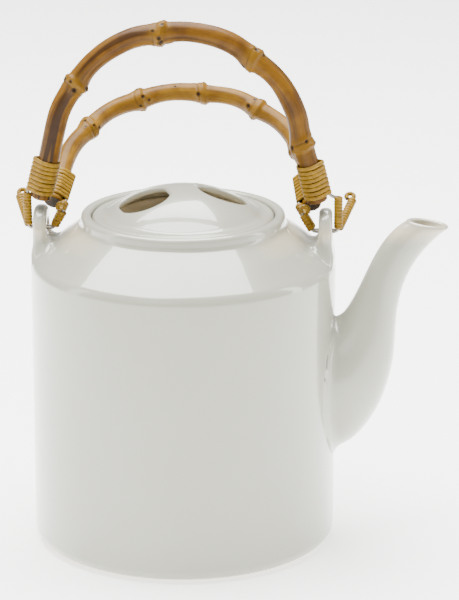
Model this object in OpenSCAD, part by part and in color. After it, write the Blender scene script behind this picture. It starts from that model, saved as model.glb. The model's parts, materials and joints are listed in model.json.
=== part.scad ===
// Porcelain teapot with a lift-out infuser and two bamboo-root bail handles.
// The origin is the centre of the foot on the table, +Z is up, the spout points to +X,
// and the two lugs stand on the -X and +X edges of the shoulder. All sizes are in millimetres.

/* [Pot] */
// Outer radius of the cylindrical wall
pot_r = 75; // [65:1:90]
// Height of the outer corner between wall and shoulder
shoulder_z = 142.5; // [115:0.5:170]
// Wall thickness of the thrown pot
wall = 4.5; // [3:0.1:6]
// Thickness of the floor
floor_t = 5; // [3:0.5:8]
// Fillet between wall and foot
foot_fillet = 7; // [3:0.5:10]
// Depth of the unglazed recess inside the foot ring
foot_recess = 1.5; // [0.5:0.1:2.5]
// Width of the foot ring
foot_ring_w = 8; // [5:0.5:14]
// Rounding of the corner between wall and shoulder
shoulder_round = 6; // [2:0.5:9]

/* [Neck] */
// Outer radius of the neck rim
rim_r = 50.3; // [46:0.1:56]
// Thickness of the neck ring
neck_t = 5.1; // [4:0.1:6]
// Rise of the shoulder from its outer corner to the neck
shoulder_rise = 17; // [12:0.5:24]
// Height of the neck ring above the shoulder
neck_h = 6.5; // [5:0.5:10]
// Depth of the ledge that the infuser hangs on, below the rim
ledge_drop = 6.5; // [5:0.5:9]
// Width of that ledge
ledge_w = 4; // [3:0.5:6]

/* [Spout] */
// Height of the spout's mouth above the shoulder corner
mouth_rise = 18.8; // [14:0.2:26]
// How far the middle of the mouth stands out from the wall
mouth_reach = 44.6; // [36:0.2:56]
// Length of the mouth from back lip to tip
mouth_l = 20.8; // [16:0.2:26]
// Width of the mouth across
mouth_w = 15; // [12:0.2:20]
// How much lower the tip of the mouth is than its back lip
mouth_dip = 3; // [0:0.2:6]
// Height of the middle of the spout's root
root_z = 79; // [70:1:90]
// Height of the spout's root on the wall
root_h = 65; // [52:1:72]
// Width of the spout's root on the wall
root_w = 45; // [36:1:52]
// Wall thickness of the spout
spout_wall = 2.8; // [2:0.1:3.4]
// Diameter of each strainer hole behind the spout
strainer_d = 5; // [3:0.2:6]

/* [Lugs] */
// Distance from the wall's face in to the middle of each lug
lug_inset = 5; // [3.5:0.1:9]
// Thickness of a lug
lug_t = 6.6; // [5:0.2:9]
// Radius of the rounded top of a lug
lug_r = 11.5; // [9:0.5:14]
// Diameter of the hole through a lug
lug_hole_d = 9; // [8:0.2:11]
// Height of the hole above the shoulder corner
lug_hole_rise = 15; // [13:0.5:20]

/* [Lid] */
// Radial gap between the lid and the neck
lid_gap = 0.6; // [0.3:0.1:1.2]
// Height of the dome above the lid's flange
dome_h = 13.5; // [8:0.5:20]
// Wall thickness of the lid
lid_t = 3.6; // [3:0.1:5]
// Depth of the skirt that centres the lid
skirt_h = 6; // [3:0.5:10]
// Distance from the lid's middle to the middle of each finger opening
grip_x = 19.5; // [17:0.5:22]
// Width of a finger opening across the bridge
grip_w = 23; // [18:0.5:24]
// Length of a finger opening along the bridge
grip_l = 28; // [24:0.5:32]
// Turn of the lid from the line of the lugs, in degrees
lid_turn = 18; // [0:1:90]
// Depth of the well under the finger openings, below the flange
well_depth = 4.4; // [2:0.2:8]

/* [Infuser] */
// Length of the infuser basket below the ledge
infuser_l = 88; // [60:1:110]
// Radial gap between the basket and the ledge's bore
infuser_gap = 1; // [0.5:0.1:2]
// Thickness of the basket's steel sheet
sheet_t = 0.6; // [0.4:0.1:1]
// Thickness of the basket's rim ring
infuser_rim_t = 0.9; // [0.6:0.1:1.5]
// Diameter of each perforation
perforation_d = 2.6; // [1.6:0.2:4]
// Perforations round the basket
perforations_round = 24; // [12:1:32]
// Rows of perforations on the wall
perforation_rows = 6; // [3:1:10]

/* [Front bail] */
// How much smaller the radius of the front bow is than the lugs' distance from the axis
front_bow_in = 10; // [4:0.5:14]
// Height of the bow's centre above the hinge
front_bow_s = 40; // [34:0.5:52]
// Splay of the cane's legs, in degrees
front_splay = 14; // [4:0.5:18]
// Diameter of the front cane
front_cane_d = 10.6; // [9:0.2:14]
// Distance from the hinge to the cane's ends
front_end_s = 15.5; // [15:0.5:20]
// How far the bow sits off centre towards the spout
front_shift = -2; // [-4:0.2:4]
// Lean of the front bail towards the front, in degrees
front_lean = 3; // [0:1:10]

/* [Rear bail] */
// How much smaller the radius of the rear bow is than the lugs' distance from the axis
rear_bow_in = 9; // [6:0.5:17]
// Height of the bow's centre above the hinge
rear_bow_s = 32.5; // [26:0.5:42]
// Splay of the cane's legs, in degrees
rear_splay = 9; // [4:0.5:16]
// Diameter of the rear cane
rear_cane_d = 9.6; // [8:0.2:13]
// Distance from the hinge to the cane's ends
rear_end_s = 16; // [15:0.5:22]
// How far the bow sits off centre towards the spout
rear_shift = -1.6; // [-4:0.2:4]
// Lean of the rear bail towards the back, in degrees
rear_lean = 58; // [40:1:80]

/* [Hooks and bindings] */
// Diameter of the hook wire
wire_d = 2.4; // [1.8:0.1:2.8]
// Distance between the two hook wires in one lug hole
wire_pitch = 3.2; // [3:0.1:4]
// Diameter of the rattan wrap over the wire
wrap_d = 4.3; // [3.6:0.1:5]
// Thickness of the rattan binding over a cane
binding_t = 0.8; // [0.4:0.1:1.2]
// Length of each binding along the cane
binding_l = 16; // [10:0.5:20]
// Distance from the cane's end to the binding
binding_gap = 3.2; // [1:0.2:6]
// Gap between a wrapped hook leg and the lug's face
hook_gap = 0.7; // [0.4:0.1:1.5]
// Length of the front hooks' free tails, which stand inside the lugs
front_tail_l = 11.5; // [9:0.5:14]
// Tilt of the front hooks' tails away from the lugs, in degrees
front_tail_tilt = 30; // [16:1:34]
// Length of the rear hooks' free tails, which stand outside the lugs
rear_tail_l = 23; // [12:0.5:28]
// Tilt of the rear hooks' tails away from the lugs, in degrees
rear_tail_tilt = 18; // [8:1:30]
// Centre-line radius of the eye at the end of a tail
eye_r = 1.9; // [1.6:0.1:3]

/* [Hidden] */

porcelain = "#e6e6de";
bisque = "#d8cfb8";
dark_cane = "#a8743a";
light_cane = "#c49a58";
rattan = "#c8a63a";
steel = "#b8bcc0";

$fn = 64;
cut = 1; // overshoot of a cutting solid

// Pot heights and radii
neck_z = shoulder_z + shoulder_rise;
rim_z = neck_z + neck_h;
bore_r = rim_r - neck_t;         // inside of the neck above the ledge
ledge_z = rim_z - ledge_drop;
ledge_r = bore_r - ledge_w;      // bore of the ledge
inner_r = pot_r - wall;
neck_base_r = rim_r + 2.2;       // flare where the neck meets the shoulder
ledge_t = 3.5;                   // thickness of the ledge
slope_deg = atan2(shoulder_rise, pot_r - neck_base_r);
slope_wall = 90 - slope_deg;     // turn of the surface at the shoulder corner

// Hooks: how far the ball of a wire's bend stands proud of the wire, and the side of
// the cane and lug that a hook's leg comes down on
ball_grow = 0.2;
outside = 1;
inside = -1;

// Lugs, hinge and the bows between them
lug_x = pot_r - lug_inset;       // from the axis to the middle of a lug
lug_in = lug_x - lug_t / 2;
lug_out = lug_x + lug_t / 2;
hinge_z = shoulder_z + lug_hole_rise;
front_bow_r = lug_x - front_bow_in;
rear_bow_r = lug_x - rear_bow_in;

// Lid and infuser stack on the ledge
seat_z = ledge_z + infuser_rim_t;
lid_r = bore_r - lid_gap;
flange_z = rim_z - 0.6;          // top of the lid's flange
dome_r = lid_r - 5.6;            // where the dome springs from the flange
basket_r = ledge_r - infuser_gap;
basket_in = basket_r - sheet_t;
skirt_r = basket_in - 0.6;
skirt_t = 3;
well_r = skirt_r - skirt_t - 0.4;
well_t = 3;

// Points along an arc, in degrees
function arc(cx, cy, r, a0, a1, n = 8) =
    [for (i = [0:n]) let (a = a0 + (a1 - a0) * i / n) [cx + r * cos(a), cy + r * sin(a)]];

// Point at t on a cubic curve
function bezier(p, t) =
    pow(1 - t, 3) * p[0] + 3 * t * pow(1 - t, 2) * p[1] + 3 * t * t * (1 - t) * p[2] + pow(t, 3) * p[3];

// ---- Pot ----

// Half profile of the pot's outside, closed along the axis
function pot_outline() =
    let (
        h = shoulder_round * tan(slope_wall / 2),
        c = [pot_r - shoulder_round, shoulder_z - h]
    )
    concat(
        [[0, 0]],
        arc(pot_r - foot_fillet, foot_fillet, foot_fillet, -90, 0),
        arc(c[0], c[1], shoulder_round, 0, slope_wall),
        [[neck_base_r, neck_z]],
        arc(rim_r + 2.2, neck_z + 2.6, 2.2, -90, -180, 6),
        arc(rim_r - 2, rim_z - 2, 2, 0, 90, 6),
        [[0, rim_z]]
    );

// Half profile of the room inside the pot, up through the neck
function pot_room() =
    let (
        lift = wall / cos(slope_deg),
        under_z = ledge_z - ledge_t
    )
    concat(
        [[0, floor_t]],
        arc(inner_r - foot_fillet, floor_t + foot_fillet, foot_fillet, -90, 0),
        [
            [inner_r, shoulder_z - lift + wall * tan(slope_deg)],
            [pot_r - (under_z - shoulder_z + lift) / tan(slope_deg), under_z],
            [ledge_r, under_z],
            [ledge_r, ledge_z],
            [bore_r, ledge_z]
        ],
        arc(bore_r + 1.2, rim_z - 1.2, 1.2, 180, 90, 4),
        [[bore_r + 1.2, rim_z + cut], [0, rim_z + cut]]
    );

module pot_blank() {
    rotate_extrude($fn = 128) polygon(pot_outline());
}

// Staggered rows of holes behind the spout
module strainer() {
    pitch = strainer_d * 1.7;
    for (row = [-2:2])
        for (i = [0:2 + abs(row % 2)])
            translate([0, (i - (2 + abs(row % 2)) / 2) * pitch, root_z + row * pitch * 0.87])
                rotate([0, 90, 0])
                    cylinder(d = strainer_d, h = pot_r + cut, $fn = 24);
}

module pot_body() {
    color(porcelain)
        difference() {
            pot_blank();
            rotate_extrude($fn = 128) polygon(pot_room());
            translate([0, 0, -cut])
                cylinder(r = pot_r - foot_fillet - foot_ring_w, h = cut + foot_recess, $fn = 128);
            difference() {
                strainer();
                cylinder(r = inner_r - cut, h = rim_z, $fn = 128);
            }
        }
}

// ---- Spout ----

mouth_z = shoulder_z + mouth_rise;
mouth_x = pot_r + mouth_reach;

// Upper and lower edge of the spout in the XZ plane, from root to mouth
upper_edge = [
    [pot_r - 2, root_z + root_h / 2 - 1.3],
    [pot_r + 13, root_z + root_h * 0.62],
    [mouth_x - 29.5, mouth_z - 9.5],
    [mouth_x - mouth_l / 2, mouth_z + mouth_dip / 2]
];
belly = [mouth_x - 15, root_z + root_h * 0.32];
lower_root = [
    [pot_r - 2, root_z - root_h / 2 - 0.3],
    [mouth_x - 25.6, root_z - root_h * 0.42],
    belly - [1.3, 22],
    belly
];
lower_tip = [
    belly,
    belly + [0.8, 18],
    [mouth_x - 15.1, mouth_z - 21],
    [mouth_x + mouth_l / 2, mouth_z - mouth_dip / 2]
];
function lower_edge(t) = t < 0.5 ? bezier(lower_root, 2 * t) : bezier(lower_tip, 2 * t - 1);
function half_width(t) = mouth_w / 2 + (root_w - mouth_w) / 2 * pow(1 - t, 2.2);

// One ring of the spout at t, drawn in by inset
function spout_ring(t, inset, sides) =
    let (
        u = bezier(upper_edge, t),
        l = lower_edge(pow(t, 0.72)),
        mid = (u + l) / 2,
        half = norm(u - l) / 2,
        d = (u - l) / (2 * half),
        a = half - inset,
        b = half_width(t) - inset
    )
    [for (i = [0:sides - 1]) let (q = 360 * i / sides)
        [mid[0] + d[0] * a * cos(q), b * sin(q), mid[1] + d[1] * a * cos(q)]];

// Closed solid through rings of equal length
module loft(rings) {
    n = len(rings);
    m = len(rings[0]);
    points = [for (ring = rings) each ring];
    sides = [for (k = [0:n - 2]) for (i = [0:m - 1])
        let (j = (i + 1) % m)
        each [[k * m + i, (k + 1) * m + j, (k + 1) * m + i], [k * m + i, k * m + j, (k + 1) * m + j]]];
    polyhedron(points, concat(
        sides,
        [[for (i = [m - 1:-1:0]) i]],
        [[for (i = [0:m - 1]) (n - 1) * m + i]]
    ));
}

module spout() {
    sides = 28;
    steps = 26;
    outer = [for (k = [0:steps]) spout_ring(k / steps, 0, sides)];
    inner = [for (k = [0:steps]) spout_ring(k / steps, spout_wall, sides)];
    into_pot = [8, 0, 0];        // how far both lofts start inside the wall
    color(porcelain)
        difference() {
            loft(concat([[for (p = outer[0]) p - into_pot]], outer));
            loft(concat(
                [[for (p = inner[0]) p - 2 * into_pot]],
                inner,
                [[for (p = inner[steps]) p + [0, 0, cut]]]
            ));
            cylinder(r = pot_r, h = rim_z, $fn = 128);
        }
}

// ---- Lugs ----

// A tab with a rounded top that flares into the shoulder
module lug() {
    flare = 6;
    width = 2 * lug_r - 2;
    root = shoulder_z + (pot_r - lug_x) * tan(slope_deg);
    base_z = root - 5;
    difference() {
        translate([lug_in, 0, 0])
            rotate([90, 0, 90])
                linear_extrude(lug_t)
                    difference() {
                        union() {
                            translate([0, hinge_z]) circle(lug_r, $fn = 96);
                            translate([-width / 2, base_z]) square([width, hinge_z - base_z]);
                            translate([-width / 2 - flare, base_z])
                                square([width + 2 * flare, root + flare - base_z]);
                        }
                        for (s = [-1, 1])
                            translate([s * (width / 2 + flare), root + flare])
                                circle(flare + 0.01, $fn = 64);
                    }
        translate([0, 0, hinge_z])
            rotate([0, 90, 0])
                cylinder(d = lug_hole_d, h = 2 * pot_r, $fn = 48);
        pot_blank();
    }
}

module lug_left() {
    color(porcelain) mirror([1, 0, 0]) lug();
}

module lug_right() {
    color(porcelain) lug();
}

// ---- Lid ----

dome_ball = (dome_r * dome_r + dome_h * dome_h) / (2 * dome_h);
function dome_at(r) = flange_z - (dome_ball - dome_h) + sqrt(dome_ball * dome_ball - r * r);

// Points of the dome's inner face, from the middle outwards
dome_under = [for (i = [0:20]) let (r = (skirt_r - skirt_t) * i / 20) [r, dome_at(r) - lid_t]];

// The lid before its finger openings are cut
module lid_blank() {
    steps = 20;
    rotate_extrude($fn = 128)
        polygon(concat(
            [for (i = [0:steps]) let (r = dome_r * i / steps) [r, dome_at(r)]],
            [[dome_r + 1.6, flange_z - 0.5]],
            arc(lid_r - 1.6, flange_z - 1.6 + 0.1, 1.6, 90, 0, 5),
            [[lid_r, seat_z], [skirt_r, seat_z], [skirt_r, seat_z - skirt_h], [skirt_r - skirt_t, seat_z - skirt_h]],
            [for (i = [len(dome_under) - 1:-1:0]) dome_under[i]]
        ));
}

// The two finger openings
module grips(h) {
    for (s = [-1, 1])
        translate([s * grip_x, 0, 0])
            linear_extrude(h)
                union() {
                    for (e = [-1, 1])
                        translate([0, e * (grip_l - grip_w) / 2]) circle(d = grip_w, $fn = 64);
                    square([grip_w, grip_l - grip_w], center = true);
                }
}

module lid() {
    color(porcelain)
        rotate([0, 0, lid_turn])
            difference() {
                lid_blank();
                translate([0, 0, flange_z]) grips(dome_h + cut);
            }
}

// Closed bowl under the finger openings
module lid_well() {
    bottom = seat_z - well_depth;
    round_r = 7;
    color(bisque)
        rotate([0, 0, lid_turn])
            difference() {
                rotate_extrude($fn = 128)
                    polygon(concat(
                        [[0, bottom]],
                        arc(well_r - round_r, bottom + round_r, round_r, -90, 0),
                        [[well_r, flange_z + dome_h], [well_r - well_t, flange_z + dome_h]],
                        arc(well_r - round_r, bottom + round_r, round_r - well_t, 0, -90),
                        [[0, bottom + well_t]]
                    ));
                lid_cover();
            }
}

// Everything above the dome's inner face
module lid_cover() {
    top = flange_z + dome_h + cut;
    rotate_extrude($fn = 128)
        polygon(concat(dome_under, [[skirt_r, top], [0, top]]));
}

// ---- Infuser ----

basket_z = ledge_z - infuser_l;

module infuser_rim() {
    color(steel)
        translate([0, 0, ledge_z])
            difference() {
                cylinder(r = lid_r, h = infuser_rim_t, $fn = 128);
                translate([0, 0, -cut]) cylinder(r = basket_in, h = infuser_rim_t + 2 * cut, $fn = 128);
            }
}

module infuser_wall() {
    pitch_z = (infuser_l - 20) / (perforation_rows - 1);
    color(steel)
        difference() {
            translate([0, 0, basket_z]) cylinder(r = basket_r, h = infuser_l, $fn = 128);
            translate([0, 0, basket_z - cut]) cylinder(r = basket_in, h = infuser_l + 2 * cut, $fn = 128);
            for (row = [0:perforation_rows - 1])
                for (i = [0:perforations_round - 1])
                    translate([0, 0, basket_z + 7 + row * pitch_z])
                        rotate([0, 90, 360 * (i + (row % 2) / 2) / perforations_round])
                            translate([0, 0, basket_in - cut])
                                cylinder(d = perforation_d, h = sheet_t + 2 * cut, $fn = 16);
        }
}

module infuser_floor() {
    ring_step = (basket_in - 8) / 3;
    color(steel)
        translate([0, 0, basket_z])
            difference() {
                cylinder(r = basket_in, h = sheet_t, $fn = 128);
                for (ring = [0:3])
                    for (i = [0:max(0, 7 * ring - 1)])
                        rotate([0, 0, 360 * i / max(1, 7 * ring)])
                            translate([ring * ring_step, 0, -cut])
                                cylinder(d = perforation_d, h = sheet_t + 2 * cut, $fn = 16);
            }
}

// ---- Bails ----

// Places a bail drawn upright in the XZ plane, hinge at the origin
module front_place() {
    translate([0, -wire_pitch / 2, hinge_z]) rotate([front_lean, 0, 0]) children();
}

module rear_place() {
    translate([0, wire_pitch / 2, hinge_z]) rotate([-rear_lean, 0, 0]) children();
}

// Point on the middle of a right-hand leg at height s
function leg_x(bow_r, bow_s, splay, s) =
    bow_r * cos(splay) + (bow_s + bow_r * sin(splay) - s) * tan(splay);

// Straight round rod from p to q, both [x, z]
module rod(p, q, d) {
    v = q - p;
    translate([p[0], 0, p[1]])
        rotate([0, atan2(v[0], v[1]), 0])
            cylinder(d = d, h = norm(v), $fn = 32);
}

// A bent cane with a splayed leg each side and swollen knuckles
module cane(bow_r, bow_s, splay, d, end_s, shift, knuckles) {
    knuckle_t = 0.9;
    turn_s = bow_s + bow_r * sin(splay);   // where the bow runs into a leg
    shy = 0.3;                             // bow and leg both end inside the turn's ball
    translate([shift, 0, 0]) {
        translate([0, 0, bow_s])
            rotate([90, 0, 0]) {
                rotate([0, 0, splay + shy])
                    rotate_extrude(angle = 180 - 2 * (splay + shy), $fn = 96)
                        translate([bow_r, 0]) circle(d = d, $fn = 32);
                for (a = knuckles)
                    rotate([0, 0, 90 - a - 1.5])
                        rotate_extrude(angle = 3, $fn = 96)
                            translate([bow_r, 0]) circle(d = d + 2 * knuckle_t, $fn = 32);
            }
        for (s = [-1, 1]) {
            translate([s * leg_x(bow_r, bow_s, splay, turn_s), 0, turn_s])
                sphere(d = d + knuckle_t, $fn = 48);
            rod(
                [s * leg_x(bow_r, bow_s, splay, turn_s - shy), turn_s - shy],
                [s * leg_x(bow_r, bow_s, splay, end_s), end_s],
                d
            );
        }
    }
}

module front_cane() {
    color(dark_cane)
        front_place()
            cane(front_bow_r, front_bow_s, front_splay, front_cane_d, front_end_s, front_shift,
                 [-56, -8, 38, 75]);
}

module rear_cane() {
    color(light_cane)
        rear_place()
            cane(rear_bow_r, rear_bow_s, rear_splay, rear_cane_d, rear_end_s, rear_shift,
                 [-56, -25, 6, 35, 69]);
}

// Corner points of a hook in its bail's plane, on side s, with its leg on the given face:
// above and below the binding, beside the cane's end, at the lug's near and far face,
// and at the end of the free tail
function hook_points(bow_r, bow_s, splay, cane_d, end_s, shift, tail_l, tail_tilt, s, face) =
    let (
        off = face * ((cane_d + wire_d) / 2 + ball_grow),
        reach = hook_gap + wrap_d / 2,
        outer_x = lug_out + reach,
        inner_x = lug_in - reach,
        beside = function (h) [
            s * (leg_x(bow_r, bow_s, splay, h) + off * cos(splay)) + shift,
            h + off * sin(splay)
        ],
        top = beside(end_s + binding_gap + binding_l),
        low = beside(end_s + binding_gap / 2),
        end = beside(end_s),
        clear_x = face == outside ? max(s * end[0], outer_x) : min(s * end[0], inner_x),
        near = [s * (face == outside ? outer_x : inner_x), 0],
        far = [s * (face == outside ? inner_x : outer_x), 0]
    )
    [top, low, [s * clear_x, end[1]], near, far, far + tail_l * [-face * s * sin(tail_tilt), cos(tail_tilt)]];

// A bent wire through corner points, with an open eye curled back at its last point.
// Its tail leans to side t
module hook(points, tail_tilt, t) {
    n = len(points);
    eye_turn = 220;
    shy = 0.3;   // each straight length ends just inside the ball of its bend
    for (i = [0:n - 2]) {
        v = (points[i + 1] - points[i]) / norm(points[i + 1] - points[i]);
        rod(points[i] + shy * v, points[i + 1] - shy * v, wire_d);
    }
    for (i = [1:n - 1])
        translate([points[i][0], 0, points[i][1]]) sphere(d = wire_d + 2 * ball_grow, $fn = 32);
    translate([points[n - 1][0], 0, points[n - 1][1]])
        mirror([t < 0 ? 1 : 0, 0, 0])
            rotate([90, tail_tilt, 0])
                translate([-eye_r, 0, 0])
                    rotate([0, 0, 4])
                        rotate_extrude(angle = eye_turn, $fn = 48)
                            translate([eye_r, 0]) circle(d = wire_d, $fn = 24);
}

// The rattan wound on a hook's inner leg and on its free tail
module wrap(points) {
    bare = wrap_d / 2 + 0.9;   // wire left bare beside the hole
    inner_v = (points[3] - points[2]) / norm(points[3] - points[2]);
    tail_v = (points[5] - points[4]) / norm(points[5] - points[4]);
    difference() {
        union() {
            rod(points[2] + wire_d * inner_v, points[3] - bare * inner_v, wrap_d);
            rod(points[4] + bare * tail_v, points[5] - (eye_r + wire_d / 2) * tail_v, wrap_d);
        }
        rod(points[2], points[3], wire_d);
        rod(points[4], points[5], wire_d);
    }
}

// A sleeve of rattan round the cane's end and the wire beside it
module binding(bow_r, bow_s, splay, d, end_s, shift, s, face) {
    low_s = end_s + binding_gap;
    top_s = low_s + binding_l;
    p = [s * leg_x(bow_r, bow_s, splay, low_s) + shift, low_s];
    q = [s * leg_x(bow_r, bow_s, splay, top_s) + shift, top_s];
    v = q - p;
    to_wire = [face * s * ((d + wire_d) / 2 + ball_grow), 0];
    translate([p[0], 0, p[1]])
        rotate([0, atan2(v[0], v[1]), 0])
            linear_extrude(norm(v))
                difference() {
                    union() {
                        circle(d = d + 2 * binding_t, $fn = 64);
                        translate(to_wire) circle(d = wire_d + 2 * binding_t, $fn = 48);
                    }
                    circle(d = d, $fn = 64);
                    translate(to_wire) circle(d = wire_d, $fn = 48);
                }
}

function front_points(s) =
    hook_points(front_bow_r, front_bow_s, front_splay, front_cane_d, front_end_s, front_shift,
                front_tail_l, front_tail_tilt, s, outside);
function rear_points(s) =
    hook_points(rear_bow_r, rear_bow_s, rear_splay, rear_cane_d, rear_end_s, rear_shift,
                rear_tail_l, rear_tail_tilt, s, inside);

module front_binding(s) {
    color(rattan)
        front_place()
            binding(front_bow_r, front_bow_s, front_splay, front_cane_d, front_end_s, front_shift, s, outside);
}

module rear_binding(s) {
    color(rattan)
        rear_place()
            binding(rear_bow_r, rear_bow_s, rear_splay, rear_cane_d, rear_end_s, rear_shift, s, inside);
}

module front_left_binding() { front_binding(-1); }
module front_right_binding() { front_binding(1); }
module rear_left_binding() { rear_binding(-1); }
module rear_right_binding() { rear_binding(1); }

module front_hook(s) {
    color(steel) front_place() hook(front_points(s), front_tail_tilt, -outside * s);
}

module rear_hook(s) {
    color(steel) rear_place() hook(rear_points(s), rear_tail_tilt, -inside * s);
}

module front_left_hook() { front_hook(-1); }
module front_right_hook() { front_hook(1); }
module rear_left_hook() { rear_hook(-1); }
module rear_right_hook() { rear_hook(1); }

module front_left_wrap() { color(rattan) front_place() wrap(front_points(-1)); }
module front_right_wrap() { color(rattan) front_place() wrap(front_points(1)); }
module rear_left_wrap() { color(rattan) rear_place() wrap(rear_points(-1)); }
module rear_right_wrap() { color(rattan) rear_place() wrap(rear_points(1)); }

pot_body();
spout();
lug_left();
lug_right();
lid();
lid_well();
infuser_rim();
infuser_wall();
infuser_floor();
front_cane();
rear_cane();
front_left_binding();
front_right_binding();
rear_left_binding();
rear_right_binding();
front_left_hook();
front_right_hook();
rear_left_hook();
rear_right_hook();
front_left_wrap();
front_right_wrap();
rear_left_wrap();
rear_right_wrap();
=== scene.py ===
import json
import math
import bpy
import numpy as np
from mathutils import Matrix, Vector, noise


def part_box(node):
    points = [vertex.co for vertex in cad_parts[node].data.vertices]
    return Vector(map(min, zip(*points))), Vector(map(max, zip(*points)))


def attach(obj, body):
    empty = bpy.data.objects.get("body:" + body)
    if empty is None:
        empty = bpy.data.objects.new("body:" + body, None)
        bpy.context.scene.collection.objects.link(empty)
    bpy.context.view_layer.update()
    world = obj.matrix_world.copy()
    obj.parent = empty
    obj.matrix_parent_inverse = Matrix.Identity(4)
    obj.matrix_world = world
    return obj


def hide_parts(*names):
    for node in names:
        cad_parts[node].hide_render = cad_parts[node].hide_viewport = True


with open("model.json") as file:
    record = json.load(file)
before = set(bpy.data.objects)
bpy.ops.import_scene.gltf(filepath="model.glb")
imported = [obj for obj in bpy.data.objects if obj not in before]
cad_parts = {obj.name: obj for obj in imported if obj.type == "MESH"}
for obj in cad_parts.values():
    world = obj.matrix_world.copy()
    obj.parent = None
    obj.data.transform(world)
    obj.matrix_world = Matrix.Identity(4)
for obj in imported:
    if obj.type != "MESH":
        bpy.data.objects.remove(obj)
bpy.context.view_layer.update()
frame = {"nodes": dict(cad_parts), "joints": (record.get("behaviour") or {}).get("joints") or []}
mm = 0.001                                    # sizes below are in millimetres, meshes in metres
scene = bpy.context.scene


def boxMm(node):
    low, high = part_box(node)
    return low / mm, high / mm


# ---- camera, floor and light ----

camera = {"azimuth": 4.0, "elevation": 17.71, "distance": 1603.6, "aim": Vector((0, 0, 100)),
          "lens": 193.75, "sensor": 36.0, "aimRight": 22.8, "aimUp": 19.8, "roll": -0.32}


def makeCamera():
    a = math.radians(camera["azimuth"])
    e = math.radians(camera["elevation"])
    back = Vector((math.sin(a) * math.cos(e), -math.cos(a) * math.cos(e), math.sin(e)))
    right = Vector((math.cos(a), math.sin(a), 0))
    up = back.cross(right)
    stand = camera["aim"] + back * camera["distance"]
    target = camera["aim"] + right * camera["aimRight"] + up * camera["aimUp"]
    basis = Matrix((right, up, back)).transposed()
    pan = (-back).rotation_difference(target - stand).to_matrix()   # aims without adding roll
    turn = pan @ basis @ Matrix.Rotation(math.radians(camera["roll"]), 3, "Z")
    data = bpy.data.cameras.new("camera")
    data.lens = camera["lens"]
    data.sensor_width = camera["sensor"]
    data.clip_end = 20
    eye = bpy.data.objects.new("camera", data)
    eye.matrix_world = Matrix.Translation(stand * mm) @ turn.to_4x4()
    scene.collection.objects.link(eye)
    scene.camera = eye


def colour(code, alpha=1.0):                  # sRGB hex to the linear colour that shaders take
    parts = [int(code[i:i + 2], 16) / 255 for i in (1, 3, 5)]
    return [c / 12.92 if c <= 0.04045 else ((c + 0.055) / 1.055) ** 2.4 for c in parts] + [alpha]


def addNode(tree, kind, settings=None, inputs=None):   # a socket as a value makes a link
    node = tree.nodes.new(kind)
    for key, value in (settings or {}).items():
        setattr(node, key, value)
    for key, value in (inputs or {}).items():
        if isinstance(value, bpy.types.NodeSocket):
            tree.links.new(value, node.inputs[key])
        else:
            node.inputs[key].default_value = value
    return node


def maths(tree, operation, a, b=0.0, clamp=False):
    settings = {"operation": operation, "use_clamp": clamp}
    return addNode(tree, "ShaderNodeMath", settings, {0: a, 1: b}).outputs[0]


def mixed(tree, factor, a, b):                # two colours
    return addNode(tree, "ShaderNodeMix", {"data_type": "RGBA"}, {0: factor, 6: a, 7: b}).outputs[2]


def ranged(tree, value, low, high, least=0.0, most=1.0):
    return addNode(tree, "ShaderNodeMapRange", inputs={
        "Value": value, "From Min": low, "From Max": high, "To Min": least, "To Max": most}).outputs[0]


def noiseMap(tree, where, scale, detail, roughness=0.5):
    return addNode(tree, "ShaderNodeTexNoise", inputs={
        "Vector": where, "Scale": scale, "Detail": detail, "Roughness": roughness}).outputs[0]


def stretched(tree, where, scale):
    return addNode(tree, "ShaderNodeMapping", inputs={"Vector": where, "Scale": scale}).outputs[0]


def bumped(tree, height, strength, distance):
    return addNode(tree, "ShaderNodeBump", inputs={
        "Height": height, "Strength": strength, "Distance": distance}).outputs[0]


def parted(tree, vector):
    return addNode(tree, "ShaderNodeSeparateXYZ", inputs={"Vector": vector}).outputs


def newMaterial(name):
    material = bpy.data.materials.new(name)
    material.use_nodes = True
    tree = material.node_tree
    tree.nodes.clear()
    return material, tree


def finishMaterial(tree, inputs):             # the shader and its output
    shader = addNode(tree, "ShaderNodeBsdfPrincipled", inputs=inputs)
    addNode(tree, "ShaderNodeOutputMaterial", inputs={"Surface": shader.outputs[0]})


studio = {"floor": "#FCFCFA", "glow": 1.6, "worldStrength": 0.6, "world": "#FFFFFF",
          "floorHalf": 8000.0, "floorDrop": 0.2,
          "lamps": [                          # name, place, aim, width, height, power in watts
              ("topBox", (-150, 250, 1500), (0, 0, 100), 1500, 1300, 118.0),
              ("frontBox", (-500, -1500, 1150), (0, 0, 110), 900, 700, 4.0),
              ("leftStrip", (-1300, -150, 500), (0, 0, 110), 260, 1100, 5.0),
              ("rightStrip", (1250, 100, 500), (0, 0, 110), 220, 1100, 8.0)]}


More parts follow.
